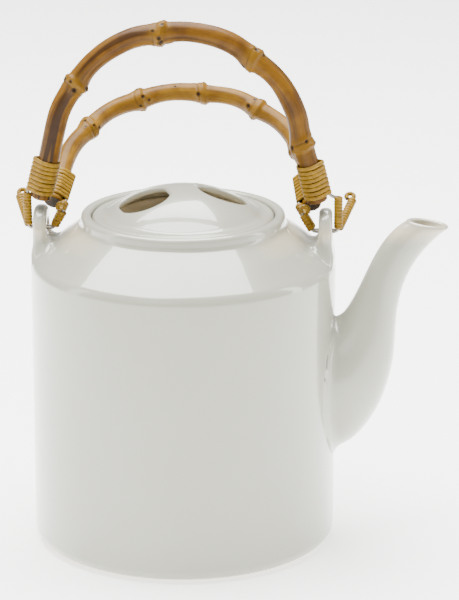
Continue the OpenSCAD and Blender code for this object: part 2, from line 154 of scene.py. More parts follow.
def makeStudio():
    world = bpy.data.worlds.new("studio")
    world.use_nodes = True
    world.node_tree.nodes.clear()
    sky = addNode(world.node_tree, "ShaderNodeBackground",
                  inputs={"Color": colour(studio["world"]), "Strength": studio["worldStrength"]})
    addNode(world.node_tree, "ShaderNodeOutputWorld", inputs={"Surface": sky.outputs[0]})
    scene.world = world
    for name, spot, aim, width, height, power in studio["lamps"]:
        lamp = bpy.data.lights.new(name, "AREA")
        lamp.shape = "RECTANGLE"
        lamp.size = width * mm
        lamp.size_y = height * mm
        lamp.energy = power
        holder = bpy.data.objects.new(name, lamp)
        holder.location = Vector(spot) * mm
        holder.rotation_euler = (Vector(aim) - Vector(spot)).to_track_quat("-Z", "Y").to_euler()
        scene.collection.objects.link(holder)
    paper, tree = newMaterial("studioPaper")   # seamless paper sweep, matt and nearly white
    finishMaterial(tree, {"Base Color": colour(studio["floor"]), "Roughness": 0.9,
                          "Emission Color": colour(studio["floor"]), "Emission Strength": studio["glow"]})
    mesh = bpy.data.meshes.new("floor")
    half = studio["floorHalf"] * mm
    corners = [(-half, -half, 0), (half, -half, 0), (half, half, 0), (-half, half, 0)]
    mesh.from_pydata(corners, [], [(0, 1, 2, 3)])
    mesh.materials.append(paper)
    floor = bpy.data.objects.new("floor", mesh)
    floor.location.z = -studio["floorDrop"] * mm
    scene.collection.objects.link(floor)


# ---- meshes ----

def makePiece(name, points, faces, material, smooth=True):
    mesh = bpy.data.meshes.new(name)
    mesh.from_pydata((np.asarray(points, float) * mm).tolist(), [], [list(f) for f in faces])
    mesh.polygons.foreach_set("use_smooth", [smooth] * len(mesh.polygons))
    mesh.materials.append(material)
    mesh.update()
    piece = bpy.data.objects.new(name, mesh)
    scene.collection.objects.link(piece)
    return piece


def place(piece, body, slot, *nodes):         # hangs a finished piece on its body and hides the CAD parts it replaces
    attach(piece, body)
    if nodes:
        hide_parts(*nodes)
    return piece


def settled(rough, name):                     # a modifier's result as a plain mesh of its own
    depsgraph = bpy.context.evaluated_depsgraph_get()
    mesh = bpy.data.meshes.new_from_object(rough.evaluated_get(depsgraph))
    mesh.name = name
    bpy.data.objects.remove(rough)
    piece = bpy.data.objects.new(name, mesh)
    scene.collection.objects.link(piece)
    return piece


def arc(cx, cz, r, start, end, steps=8):      # angles in degrees, from +X towards +Z
    turns = [math.radians(start + (end - start) * i / steps) for i in range(steps + 1)]
    return [(cx + r * math.cos(t), cz + r * math.sin(t)) for t in turns]


def lathe(profile, turns=192, loop=False):    # profile of (radius, height), the metal on its left
    points = []
    rings = []
    for r, z in profile:
        if r < 1e-6:
            rings.append([len(points)] * turns)
            points.append((0, 0, z))
        else:
            rings.append(range(len(points), len(points) + turns))
            points += [(r * math.cos(2 * math.pi * i / turns), r * math.sin(2 * math.pi * i / turns), z)
                       for i in range(turns)]
    faces = []
    for a, b in zip(rings, rings[1:] + ([rings[0]] if loop else [])):
        for i in range(turns):
            j = (i + 1) % turns
            face = list(dict.fromkeys((a[i], a[j], b[j], b[i])))
            if len(face) > 2:
                faces.append(face)
    return points, faces


def rows(rings, loop=False, capped=True):     # skin through rings of equal length
    points = [p for ring in rings for p in ring]
    m = len(rings[0])
    faces = []
    pairs = list(range(len(rings) - 1)) + ([-1] if loop else [])
    for k in pairs:
        a = k % len(rings) * m
        b = (k + 1) % len(rings) * m
        faces += [(a + i, a + (i + 1) % m, b + (i + 1) % m, b + i) for i in range(m)]
    if capped and not loop:
        faces.append(tuple(reversed(range(m))))
        faces.append(tuple(range(len(points) - m, len(points))))
    return points, faces


def smoothMin(a, b, k):
    h = np.clip(0.5 + 0.5 * (b - a) / k, 0, 1)
    return b * (1 - h) + a * h - k * h * (1 - h)


def smoothMax(a, b, k):
    return -smoothMin(-a, -b, k)


def roundedBox(a, b, r):                      # two overhangs meeting in a rounded corner
    return np.hypot(np.maximum(a + r, 0), np.maximum(b + r, 0)) + np.minimum(np.maximum(a, b) + r, 0) - r


def isoSkin(field, low, high, step):          # closed skin where the field crosses zero, solid below it
    axes = [np.arange(low[i], high[i] + step, step) for i in range(3)]
    values = field(*np.meshgrid(*axes, indexing="ij"))
    solid = values < 0
    size = np.array(values.shape) - 1
    corners = [np.array((i, j, k)) for i in (0, 1) for j in (0, 1) for k in (0, 1)]
    count = sum(solid[c[0]:c[0] + size[0], c[1]:c[1] + size[1], c[2]:c[2] + size[2]].astype(np.int8)
                for c in corners)
    cells = np.argwhere((count > 0) & (count < 8))
    total = np.zeros((len(cells), 3))
    hits = np.zeros(len(cells))
    for c in corners:
        for axis in range(3):
            if c[axis]:
                continue
            onward = np.eye(3, dtype=int)[axis]
            va = values[tuple((cells + c).T)]
            vb = values[tuple((cells + c + onward).T)]
            crossed = (va < 0) != (vb < 0)
            t = np.where(crossed, va / np.where(crossed, va - vb, 1), 0)
            total += crossed[:, None] * (cells + c + t[:, None] * onward)
            hits += crossed
    points = np.array(low) + step * total / hits[:, None]
    index = np.full(size, -1)
    index[tuple(cells.T)] = np.arange(len(cells))
    faces = []
    for axis in range(3):
        u, w = (axis + 1) % 3, (axis + 2) % 3
        du, dw = np.eye(3, dtype=int)[[u, w]]
        lower = np.take(solid, range(size[axis]), axis)
        upper = np.take(solid, range(1, size[axis] + 1), axis)
        edges = np.argwhere(lower != upper)
        inside = (edges[:, u] > 0) & (edges[:, w] > 0) & (edges[:, u] < size[u]) & (edges[:, w] < size[w])
        edges = edges[inside]
        quads = np.stack([index[tuple((edges - d).T)] for d in (du + dw, dw, 0 * du, du)], 1)
        outward = lower[tuple(edges.T)]
        faces += np.where(outward[:, None], quads, quads[:, ::-1]).tolist()
    nudge = 0.04
    for _ in range(3):                        # draws the points onto the true surface
        f = field(*points.T)
        slope = np.stack([field(*(points + nudge * d).T) - field(*(points - nudge * d).T)
                          for d in np.eye(3)], 1) / (2 * nudge)
        move = f[:, None] * slope / np.maximum((slope ** 2).sum(1), 0.2)[:, None]
        points = points - np.clip(move, -step / 2, step / 2)
    return points, faces


def unit(v):
    return v / np.linalg.norm(v)


def rounded(corners, r, steps=6):             # a path of points with its corners bent to radius r
    corners = [np.asarray(c, float) for c in corners]
    path = [corners[0]]
    for a, b, c in zip(corners, corners[1:], corners[2:]):
        u, v = unit(a - b), unit(c - b)
        half = math.acos(max(-1, min(1, float(u @ v)))) / 2
        reach = min(r / math.tan(half), 0.45 * np.linalg.norm(a - b), 0.45 * np.linalg.norm(c - b))
        p, q = b + u * reach, b + v * reach
        path += [(1 - t) ** 2 * p + 2 * t * (1 - t) * b + t * t * q for t in np.linspace(0, 1, steps + 1)]
    return np.array(path + [corners[-1]])


def resample(path, step):
    path = np.asarray(path)
    along = np.concatenate([[0], np.cumsum(np.linalg.norm(np.diff(path, axis=0), axis=1))])
    places = np.linspace(0, along[-1], max(3, int(along[-1] / step) + 1))
    return np.stack([np.interp(places, along, path[:, i]) for i in range(3)], 1)


def framesAlong(path, side):                  # a side vector carried along without twist
    tangents = np.gradient(path, axis=0)
    tangents /= np.linalg.norm(tangents, axis=1)[:, None]
    side = np.asarray(side, float)
    sides = []
    for t in tangents:
        side = unit(side - (side @ t) * t)
        sides.append(side)
    return tangents, np.array(sides)


def tube(path, radius, sides=16, side=(0, 1, 0)):
    tangents, across = framesAlong(path, side)
    rings = []
    for p, t, x in zip(path, tangents, across):
        y = np.cross(t, x)
        rings.append([p + radius * (x * math.cos(a) + y * math.sin(a))
                      for a in np.linspace(0, 2 * math.pi, sides, endpoint=False)])
    return rows(rings)


# ---- geometry node trees ----

def newTree(name, sockets):                   # sockets of (name, kind), geometry in and out besides
    tree = bpy.data.node_groups.new(name, "GeometryNodeTree")
    tree.interface.new_socket("Geometry", in_out="OUTPUT", socket_type="NodeSocketGeometry")
    tree.interface.new_socket("Geometry", in_out="INPUT", socket_type="NodeSocketGeometry")
    for label, kind in sockets:
        tree.interface.new_socket(label, in_out="INPUT", socket_type=kind)
    return tree, addNode(tree, "NodeGroupInput")


def runTree(piece, tree, values):             # inputs are set by identifier before the first evaluation
    modifier = piece.modifiers.new(tree.name, "NODES")
    modifier.node_group = tree
    for item in tree.interface.items_tree:
        if item.item_type == "SOCKET" and item.in_out == "INPUT" and item.name in values:
            modifier[item.identifier] = values[item.name]


def finishTree(tree, instances, material):
    real = addNode(tree, "GeometryNodeRealizeInstances", inputs={"Geometry": instances.outputs[0]})
    painted = addNode(tree, "GeometryNodeSetMaterial",
                      inputs={"Geometry": real.outputs[0], "Material": material})
    addNode(tree, "NodeGroupOutput", inputs={"Geometry": painted.outputs[0]})


def windingTree():
    # turns of split rattan set along a path, each tilted a little by chance
    tree, given = newTree("rattanWinding", [
        ("Turn", "NodeSocketObject"), ("Pitch", "NodeSocketFloat"), ("Side", "NodeSocketVector"),
        ("Tilt", "NodeSocketFloat"), ("Wobble", "NodeSocketFloat"), ("Seed", "NodeSocketInt"),
        ("Strip", "NodeSocketMaterial")])
    turn = addNode(tree, "GeometryNodeObjectInfo", inputs={"Object": given.outputs["Turn"]})
    line = addNode(tree, "GeometryNodeMeshToCurve", inputs={"Mesh": given.outputs["Geometry"]})
    points = addNode(tree, "GeometryNodeResampleCurve", {"mode": "LENGTH"},
                     {"Curve": line.outputs[0], "Length": given.outputs["Pitch"]})
    tangent = addNode(tree, "GeometryNodeInputTangent")
    along = addNode(tree, "FunctionNodeAlignRotationToVector", {"axis": "Z"},
                    {"Vector": tangent.outputs[0]})
    facing = addNode(tree, "FunctionNodeAlignRotationToVector", {"axis": "X", "pivot_axis": "Z"},
                     {"Rotation": along.outputs[0], "Vector": given.outputs["Side"]})
    minus = maths(tree, "MULTIPLY", given.outputs["Wobble"], -1.0)
    chance = addNode(tree, "FunctionNodeRandomValue", {"data_type": "FLOAT"},
                     {2: minus, 3: given.outputs["Wobble"], "Seed": given.outputs["Seed"]}).outputs[1]
    lean = maths(tree, "ADD", given.outputs["Tilt"], chance)
    angles = addNode(tree, "ShaderNodeCombineXYZ", inputs={"X": lean, "Y": chance})
    tilt = addNode(tree, "FunctionNodeEulerToRotation", inputs={"Euler": angles.outputs[0]})
    turned = addNode(tree, "FunctionNodeRotateRotation", {"rotation_space": "LOCAL"},
                     {"Rotation": facing.outputs[0], "Rotate By": tilt.outputs[0]})
    wound = addNode(tree, "GeometryNodeInstanceOnPoints",
                    inputs={"Points": points.outputs[0], "Instance": turn.outputs["Geometry"],
                            "Rotation": turned.outputs[0]})
    finishTree(tree, wound, given.outputs["Strip"])
    return tree


def perforationTree():
    # one punched tile repeated in staggered rows and rolled into a cylinder
    tree, given = newTree("perforatedSheet", [
        ("Columns", "NodeSocketInt"), ("Rows", "NodeSocketInt"), ("Radius", "NodeSocketFloat"),
        ("Pitch", "NodeSocketFloat"), ("Base", "NodeSocketFloat"), ("Sheet", "NodeSocketMaterial")])
    radius = given.outputs["Radius"]
    pitch = given.outputs["Pitch"]
    girth = maths(tree, "MULTIPLY", radius, 2 * math.pi)
    across = maths(tree, "DIVIDE", girth, given.outputs["Columns"])
    wide = maths(tree, "SUBTRACT", girth, across)
    high = maths(tree, "MULTIPLY", maths(tree, "SUBTRACT", given.outputs["Rows"], 1.0), pitch)
    grid = addNode(tree, "GeometryNodeMeshGrid",
                   inputs={"Size X": wide, "Size Y": high, "Vertices X": given.outputs["Columns"],
                           "Vertices Y": given.outputs["Rows"]})
    dots = addNode(tree, "GeometryNodeMeshToPoints", inputs={"Mesh": grid.outputs[0]})
    spot = parted(tree, addNode(tree, "GeometryNodeInputPosition").outputs[0])
    rise = maths(tree, "ADD", spot[1], maths(tree, "MULTIPLY", high, 0.5))
    odd = maths(tree, "MODULO", maths(tree, "ROUND", maths(tree, "DIVIDE", rise, pitch)), 2.0)
    stagger = maths(tree, "MULTIPLY", maths(tree, "MULTIPLY", odd, 0.5), across)
    shift = addNode(tree, "ShaderNodeCombineXYZ", inputs={"X": stagger})
    moved = addNode(tree, "GeometryNodeSetPosition",
                    inputs={"Geometry": dots.outputs[0], "Offset": shift.outputs[0]})
    scale = addNode(tree, "ShaderNodeCombineXYZ", inputs={"X": across, "Y": pitch, "Z": 1.0})
    tiles = addNode(tree, "GeometryNodeInstanceOnPoints",
                    inputs={"Points": moved.outputs[0], "Instance": given.outputs["Geometry"],
                            "Scale": scale.outputs[0]})
    real = addNode(tree, "GeometryNodeRealizeInstances", inputs={"Geometry": tiles.outputs[0]})
    flat = parted(tree, addNode(tree, "GeometryNodeInputPosition").outputs[0])
    angle = maths(tree, "DIVIDE", flat[0], radius)
    rolled = addNode(tree, "ShaderNodeCombineXYZ", inputs={
        "X": maths(tree, "MULTIPLY", maths(tree, "SINE", angle), radius),
        "Y": maths(tree, "MULTIPLY", maths(tree, "COSINE", angle), maths(tree, "MULTIPLY", radius, -1.0)),
        "Z": maths(tree, "ADD", flat[1], given.outputs["Base"])})
    bent = addNode(tree, "GeometryNodeSetPosition",
                   inputs={"Geometry": real.outputs[0], "Position": rolled.outputs[0]})
    merged = addNode(tree, "GeometryNodeMergeByDistance",
                     inputs={"Geometry": bent.outputs[0], "Distance": 0.02 * mm})
    finishTree(tree, merged, given.outputs["Sheet"])
    return tree


# ---- materials ----

biscuit = {"tone": "#CFC6B2", "low": 0.0011, "high": 0.0016}   # foot ring wiped bare, heights in metres
# painted shade: a warm cream tint for the neck-shoulder crease, height and reach in metres
creaseShade = {"tone": "#D9C8A6", "height": 0.1585, "reach": 0.006, "depth": 0.55, "from": 0.035, "to": 0.055}


def glazedPorcelain(name, light, deep, isPot=False):
    # slip-cast porcelain under a clear feldspar glaze: near-white, glassy, faintly uneven
    material, tree = newMaterial(name)
    where = addNode(tree, "ShaderNodeTexCoord").outputs["Object"]
    base = mixed(tree, noiseMap(tree, where, 14.0, 2.0), colour(light), colour(deep))
    if isPot:
        part = parted(tree, where)
        bare = ranged(tree, part[2], biscuit["low"], biscuit["high"], 1.0, 0.0)
        base = mixed(tree, bare, base, colour(biscuit["tone"]))
        # painted shade: a warm cream tint in the crease between neck and shoulder, on the sides that carry
        # the lugs
        near = maths(tree, "ABSOLUTE", maths(tree, "SUBTRACT", part[2], creaseShade["height"]))
        fade = ranged(tree, near, 0.0, creaseShade["reach"], creaseShade["depth"], 0.0)
        beside = ranged(tree, maths(tree, "ABSOLUTE", part[0]), creaseShade["from"], creaseShade["to"])
        base = mixed(tree, maths(tree, "MULTIPLY", fade, beside), base, colour(creaseShade["tone"]))
    bump = bumped(tree, noiseMap(tree, where, 55.0, 1.0), 0.12, 0.0004)
    finishMaterial(tree, {"Base Color": base, "Roughness": 0.28, "IOR": 1.5, "Coat Weight": 0.9,
                          "Coat Roughness": 0.035, "Coat IOR": 1.5, "Normal": bump})
    return material


def whangeeCane(name, pale, warm, dark, scarTone, gloss):
    # bamboo root, scorched, bent and lacquered: long streaks, golden knuckles, black root scars
    material, tree = newMaterial(name)

    def marked(label, kind="Fac"):
        return addNode(tree, "ShaderNodeAttribute", {"attribute_name": label}).outputs[kind]

    straight = marked("straight", "Vector")
    long = stretched(tree, straight, (1.0, 1.0, 0.06))
    fibres = noiseMap(tree, long, 900.0, 3.0, 0.6)
    streaks = noiseMap(tree, long, 260.0, 2.0)
    clouds = noiseMap(tree, straight, 90.0, 3.0)
    scorched = maths(tree, "MULTIPLY", ranged(tree, streaks, 0.5, 0.62), marked("scorch"), True)
    golden = maths(tree, "MULTIPLY", marked("knuckle"), ranged(tree, clouds, 0.3, 0.6, 0.3), True)
    base = mixed(tree, ranged(tree, clouds, 0.35, 0.68), colour(pale), colour(warm))
    base = mixed(tree, ranged(tree, fibres, 0.42, 0.7, 0.0, 0.45), base, colour(warm))
    base = mixed(tree, scorched, base, colour(dark))
    base = mixed(tree, golden, base, colour("#6E4C02"))
    base = mixed(tree, marked("scar"), base, colour(scarTone))
    bump = bumped(tree, maths(tree, "ADD", fibres, streaks), 0.35, 0.00025)
    finishMaterial(tree, {"Base Color": base, "Roughness": 0.55, "Specular IOR Level": 0.12,
                          "Coat Weight": gloss, "Coat Roughness": 0.12, "Normal": bump})
    return material


def splitRattan(name, pale, warm, deep):
    # dyed split rattan: flat strips with a silky skin and fine lengthwise fibre
    material, tree = newMaterial(name)
    where = addNode(tree, "ShaderNodeTexCoord").outputs["Object"]
    patches = ranged(tree, noiseMap(tree, where, 420.0, 2.0), 0.35, 0.68)
    fibre = noiseMap(tree, stretched(tree, where, (0.25, 0.25, 1.0)), 2600.0, 2.0)
    base = mixed(tree, patches, colour(pale), colour(warm))
    base = mixed(tree, ranged(tree, fibre, 0.45, 0.75, 0.0, 0.6), base, colour(deep))
    finishMaterial(tree, {"Base Color": base, "Roughness": 0.5, "Specular IOR Level": 0.25,
                          "Normal": bumped(tree, fibre, 0.3, 0.00015)})
    return material


def steel(name, tone, roughness, lines):
    # stainless sheet or drawn wire: grey mirror blurred by fine drawing lines
    material, tree = newMaterial(name)
    where = addNode(tree, "ShaderNodeTexCoord").outputs["Object"]
    drawn = noiseMap(tree, stretched(tree, where, (0.03, 0.03, 1.0)), lines, 3.0)
    matt = ranged(tree, drawn, 0.3, 0.7, roughness - 0.07, roughness + 0.08)
    finishMaterial(tree, {"Base Color": colour(tone), "Metallic": 1.0, "Roughness": matt,
                          "Normal": bumped(tree, drawn, 0.12, 0.0001)})
    return material


makeCamera()
makeStudio()
print("camera and studio made")

porcelain = glazedPorcelain("glazedPorcelain", "#A4A495", "#9B9A8A", isPot=True)
# painted shade: a cream copy of the glaze stands in for the shade and warm bounce light inside the lid's
# well
shadedWellGlaze = glazedPorcelain("shadedWellGlaze", "#D9CBB0", "#CFBF9F")
frontRoot = whangeeCane("scorchedWhangee", "#6C4704", "#482B02", "#241202", "#0E0602", 0.1)
rearRoot = whangeeCane("honeyWhangee", "#805B0C", "#5C3B03", "#2E1A02", "#100702", 0.1)
rattan = splitRattan("yellowSplitRattan", "#8C6900", "#735400", "#443000")
stainless = steel("brushedStainless", "#C2C4C5", 0.3, 2200.0)
drawnWire = steel("drawnSteelWire", "#8B857B", 0.42, 3000.0)
print("materials made")

# ---- pot ----

wallRadius = boxMm("pot_body")[1].x
rimHeight = boxMm("pot_body")[1].z
ledgeHeight = boxMm("infuser_rim")[0].z
pot = {"wall": 4.5, "floor": 5.0, "footRound": 7.0, "footRing": 8.0, "footRecess": 1.5,
       "footEdge": [(-1.2, 1.5), (-0.3, 1.1), (0.3, 0.3), (1.2, 0.0)], "wallRings": [30, 60, 90, 120],
       "shoulderRound": 6.5, "shoulderRise": 17.0, "shoulderRings": [12, 6], "shoulderBlend": 7.0,
       "neckHeight": 6.5, "neckRadius": 50.3, "neckFlare": 2.6, "flareOut": 0.5, "flareGrow": 0.4,
       "rimRound": 2.2, "rimInner": 1.6, "neckWall": 5.1, "ledge": 4.0, "ledgeThick": 3.5,
       "boreEdge": 0.4, "ledgeEdge": 0.5, "spoutRoot": 79.0}
strainer = {"hole": 5.0, "apart": 8.5, "rowPitch": 0.87, "sides": 20, "inward": 9, "outward": 4}
neckHeight = rimHeight - pot["neckHeight"]
shoulderHeight = neckHeight - pot["shoulderRise"]
neckFoot = pot["neckRadius"] + pot["neckFlare"]
slope = math.degrees(math.atan2(pot["shoulderRise"], wallRadius - neckFoot))
boreRadius = pot["neckRadius"] - pot["neckWall"]


def potProfile():                             # from under the foot, up outside, over the rim, down inside
    rise = 90 - slope
    r = pot["shoulderRound"]
    foot = pot["footRound"]
    rim = pot["rimRound"]
    inRim = pot["rimInner"]
    flare = pot["neckFlare"]
    bore = pot["boreEdge"]
    edge = pot["ledgeEdge"]
    innerWall = wallRadius - pot["wall"]
    underLedge = ledgeHeight - pot["ledgeThick"]
    lift = pot["wall"] / math.cos(math.radians(slope))
    ledgeRadius = boreRadius - pot["ledge"]
    recess = wallRadius - foot - pot["footRing"]
    tan = math.tan(math.radians(slope))
    outside = ([(0, pot["footRecess"])]
               + [(recess + x, z) for x, z in pot["footEdge"]]
               + arc(wallRadius - foot, foot, foot, -90, 0, 12)
               + [(wallRadius, z) for z in pot["wallRings"]]
               + arc(wallRadius - r, shoulderHeight - r * math.tan(math.radians(rise / 2)), r, 0, rise, 12)
               + [(neckFoot + d, neckHeight - d * tan) for d in pot["shoulderRings"]]
               + arc(neckFoot + pot["flareOut"], neckHeight + flare, flare + pot["flareGrow"], -120, -180, 8)
               + arc(pot["neckRadius"] - rim, rimHeight - rim, rim, 0, 90, 8))
    inside = (arc(boreRadius + inRim, rimHeight - inRim, inRim, 90, 180, 6)
              + [(boreRadius, ledgeHeight + bore), (boreRadius - bore, ledgeHeight)]
              + [(ledgeRadius + edge, ledgeHeight), (ledgeRadius, ledgeHeight - edge)]
              + [(ledgeRadius, underLedge + edge), (ledgeRadius + edge, underLedge)]
              + [(wallRadius - (underLedge - shoulderHeight + lift) / tan, underLedge)]
              + [(innerWall, shoulderHeight - lift + pot["wall"] * tan)]
              + [(innerWall, z) for z in reversed(pot["wallRings"])]
              + arc(innerWall - foot, pot["floor"] + foot, foot, 0, -90, 8)
              + [(0, pot["floor"])])
    return outside + inside


def strainerPins():                           # solid pins that punch the holes behind the spout
    points = []
    faces = []
    r = strainer["hole"] / 2
    around = np.linspace(0, 2 * math.pi, strainer["sides"], endpoint=False)
    for row in range(-2, 3):
        count = 3 + abs(row % 2)
        for i in range(count):
            y = (i - (count - 1) / 2) * strainer["apart"]
            z = pot["spoutRoot"] + row * strainer["apart"] * strainer["rowPitch"]
            rings = [[(x, y + r * math.cos(a), z + r * math.sin(a)) for a in around]
                     for x in (wallRadius - strainer["inward"], wallRadius + strainer["outward"])]
            p, f = rows(rings)
            faces += [tuple(k + len(points) for k in face) for face in f]
            points += p
    return points, faces


def makePot():
    body = makePiece("potBody", *lathe(potProfile(), 256), porcelain)
    pins = makePiece("strainerPins", *strainerPins(), porcelain)
    punch = body.modifiers.new("strainer", "BOOLEAN")
    punch.operation = "DIFFERENCE"
    punch.solver = "EXACT"
    punch.object = pins
    body = settled(body, "potBody")
    bpy.data.objects.remove(pins)
    place(body, "pot", "porcelain", "pot_body")


def potField(x, y, z):                        # below zero inside the pot's outer shape
    r = np.hypot(x, y)
    tan = math.tan(math.radians(slope))
    cone = (z - shoulderHeight - (wallRadius - r) * tan) * math.cos(math.radians(slope))
    return smoothMax(r - wallRadius, cone, pot["shoulderBlend"])


lug = {"radius": 11.2, "half": 3.3, "edgeRound": 2.6, "hole": 4.5, "holeRound": 1.8, "holeEase": 0.2,
       "blend": 9.0, "sink": 0.4, "depth": 3.0, "reach": 23.0, "reachDrop": 10, "inWall": 0.2,
       "room": [25, 25, 22], "above": 2, "beyond": 10, "step": 0.42}
lugLow, lugHigh = boxMm("lug_right")
lugMiddle = (lugLow.x + lugHigh.x) / 2
hinges = {j["name"]: Vector(j["pos_m"]) / mm for j in frame["joints"] if j["type"] == "hinge"}
holeHeight = hinges["front_bail_swing"].z


def makeLug(name, side, node):
    def field(x, y, z):
        up = np.maximum(z - holeHeight, 0)
        tab = np.hypot(y, up) - lug["radius"]
        tab = roundedBox(tab, np.abs(side * x - lugMiddle) - lug["half"], lug["edgeRound"])
        skin = potField(x, y, z) + lug["sink"]
        whole = smoothMin(tab, skin, lug["blend"])
        whole = np.maximum(whole, -(potField(x, y, z) + lug["depth"]))
        far = np.sqrt((side * x - lugMiddle) ** 2 + y ** 2 + (z - holeHeight + lug["reachDrop"]) ** 2)
        whole = np.maximum(whole, far - lug["reach"])
        # no bulge past the round wall
        whole = np.maximum(whole, np.hypot(x, y) - wallRadius + lug["inWall"])
        hole = np.hypot(y, z - holeHeight) - lug["hole"] + lug["holeEase"]
        return smoothMax(whole, -hole, lug["holeRound"])

    inward, across, down = lug["room"]
    ends = sorted((side * (lugMiddle - inward), side * (lugMiddle + lug["beyond"])))
    low = (ends[0], -across, shoulderHeight - down)
    high = (ends[1], across, holeHeight + lug["radius"] + lug["above"])
    piece = makePiece(name, *isoSkin(field, low, high, lug["step"]), porcelain)
    place(piece, "pot", "porcelain", node)


# ---- spout ----

spout = {"mouthRise": 18.8, "mouthReach": 44.6, "mouthLength": 20.8, "mouthWidth": 15.0, "mouthDip": 3.0,
         "rootHeight": 65.0, "rootWidth": 45.0, "rootSink": 2, "wall": 2.8, "fillet": 4.5, "taper": 2.2,
         "upper": [(13, 0.62), (-29.5, -9.5)],            # handles: from the wall, back from the mouth
         "lower": [(-25.6, 0.42), (-1.3, -22)],           # handles of the root's underside
         "belly": (-15, 0.32),
         "chin": [(0.8, 18), (-15.1, -21)],               # handles from the belly up to the lip
         "rootUp": 1.3, "rootDown": 0.3, "bellyEase": 0.72, "crowd": 1.7,
         "sides": 72, "steps": 90, "widest": 40, "follow": 0.06, "standOff": 1.6, "inWall": 0.25,
         "rootDepth": 2.5, "throatDepth": 3.2, "lipLean": 0.15, "lipRise": 0.8}


def bezier(p, t):
    a, b, c, d = (np.array(q, float) for q in p)
    return (1 - t) ** 3 * a + 3 * t * (1 - t) ** 2 * b + 3 * t * t * (1 - t) * c + t ** 3 * d


def spoutRing(t, inset):
    mouth = np.array((wallRadius + spout["mouthReach"], shoulderHeight + spout["mouthRise"]))
    lip = np.array((spout["mouthLength"], -spout["mouthDip"])) / 2
    root = pot["spoutRoot"]
    tall = spout["rootHeight"]
    start = wallRadius - spout["rootSink"]
    top, back = spout["upper"]
    under, rise = spout["lower"]
    swell, chin = spout["chin"]
    belly = np.array((mouth[0] + spout["belly"][0], root + tall * spout["belly"][1]))
    upper = [(start, root + tall / 2 - spout["rootUp"]), (wallRadius + top[0], root + tall * top[1]),
             mouth + back, mouth - lip]
    low = [(start, root - tall / 2 - spout["rootDown"]), (mouth[0] + under[0], root - tall * under[1]),
           belly + rise, belly]
    tip = [belly, belly + swell, mouth + chin, mouth + lip]
    u = bezier(upper, t)
    s = t ** spout["bellyEase"]
    l = bezier(low, 2 * s) if s < 0.5 else bezier(tip, 2 * s - 1)
    half = np.linalg.norm(u - l) / 2
    d = (u - l) / (2 * half)
    a = half - inset
    narrow = spout["mouthWidth"]
    b = narrow / 2 + (spout["rootWidth"] - narrow) / 2 * (1 - t) ** spout["taper"] - inset
    q = np.linspace(0, 2 * math.pi, spout["sides"], endpoint=False)
    mid = (u + l) / 2
    ring = np.stack([mid[0] + d[0] * a * np.cos(q), b * np.sin(q), mid[1] + d[1] * a * np.cos(q)], 1)
    out = np.stack([d[0] * np.cos(q) / a, np.sin(q) / b, d[1] * np.cos(q) / a], 1)
    return ring, out / np.linalg.norm(out, axis=1)[:, None]


def wallBeside(ring):                         # how far out the round wall is beside each point
    return np.sqrt(wallRadius ** 2 - np.minimum(np.abs(ring[:, 1]), spout["widest"]) ** 2)


def makeSpout():
    n = spout["steps"]
    fillet = spout["fillet"]
    times = [(k / n) ** spout["crowd"] for k in range(n + 1)]
    outer = []
    for t in times:
        ring, out = spoutRing(t, 0)
        wall = wallBeside(ring)
        near = np.exp(-(t / spout["follow"]) ** 2)   # the first rings follow the round wall
        ring[:, 0] += near * (wall - wallRadius + spout["standOff"])
        gap = np.clip(fillet - (ring[:, 0] - wall), 0, fillet)
        grow = fillet - np.sqrt(np.maximum(fillet ** 2 - gap ** 2, 0))
        ring += out * grow[:, None]
        sunk = ring[:, 0] < wall + 0.02
        ring[:, 0] = np.where(sunk, wallBeside(ring) - spout["inWall"], ring[:, 0])
        outer.append(ring)
    root = outer[0].copy()
    root[:, 0] -= spout["rootDepth"]
    inner = [spoutRing(t, spout["wall"])[0] for t in times[::-3]]
    inner[-1][:, 0] = wallRadius - spout["throatDepth"]
    a, b = outer[-1], inner[0]
    middle = (a + b) / 2
    lift = np.array((spout["lipLean"], 0, 1.0)) * spout["wall"] / 2 * spout["lipRise"]
    lip = [middle + (a - middle) * math.cos(w) + lift * math.sin(w)
           for w in np.linspace(0, math.pi, 9)[1:-1]]
    rings = [root] + outer + lip + inner
    points, faces = rows([r.tolist() for r in rings], loop=True)
    piece = makePiece("spout", points, [f[::-1] for f in faces], porcelain)
    place(piece, "pot", "porcelain", "spout")


# ---- lid ----

lidLow, lidHigh = boxMm("lid")
lid = {"turn": 18.0, "lip": 5.6, "wall": 3.6, "domeHeight": 13.5, "domeEdge": 0.5, "domeFoot": 1,
       "lipRound": 2.0, "flangeBore": 34.5, "flangeBlend": 1.6, "skirtRadius": 39.0, "skirtThick": 3.0,
       "skirtRound": 1.2, "skirtTop": 3, "skirtBlend": 1.0, "gripX": 19.5, "gripRadius": 11.5,
       "gripHalf": 2.5, "gripRound": 2.6, "gripFoot": 1.5, "room": 1.5, "step": 0.5}
well = {"drop": 1.2, "thick": 3.0, "round": 7.0, "rim": 0.8}
lidRadius = lidHigh.x
seatHeight = boxMm("infuser_rim")[1].z
flangeHeight = lidHigh.z - lid["domeHeight"]


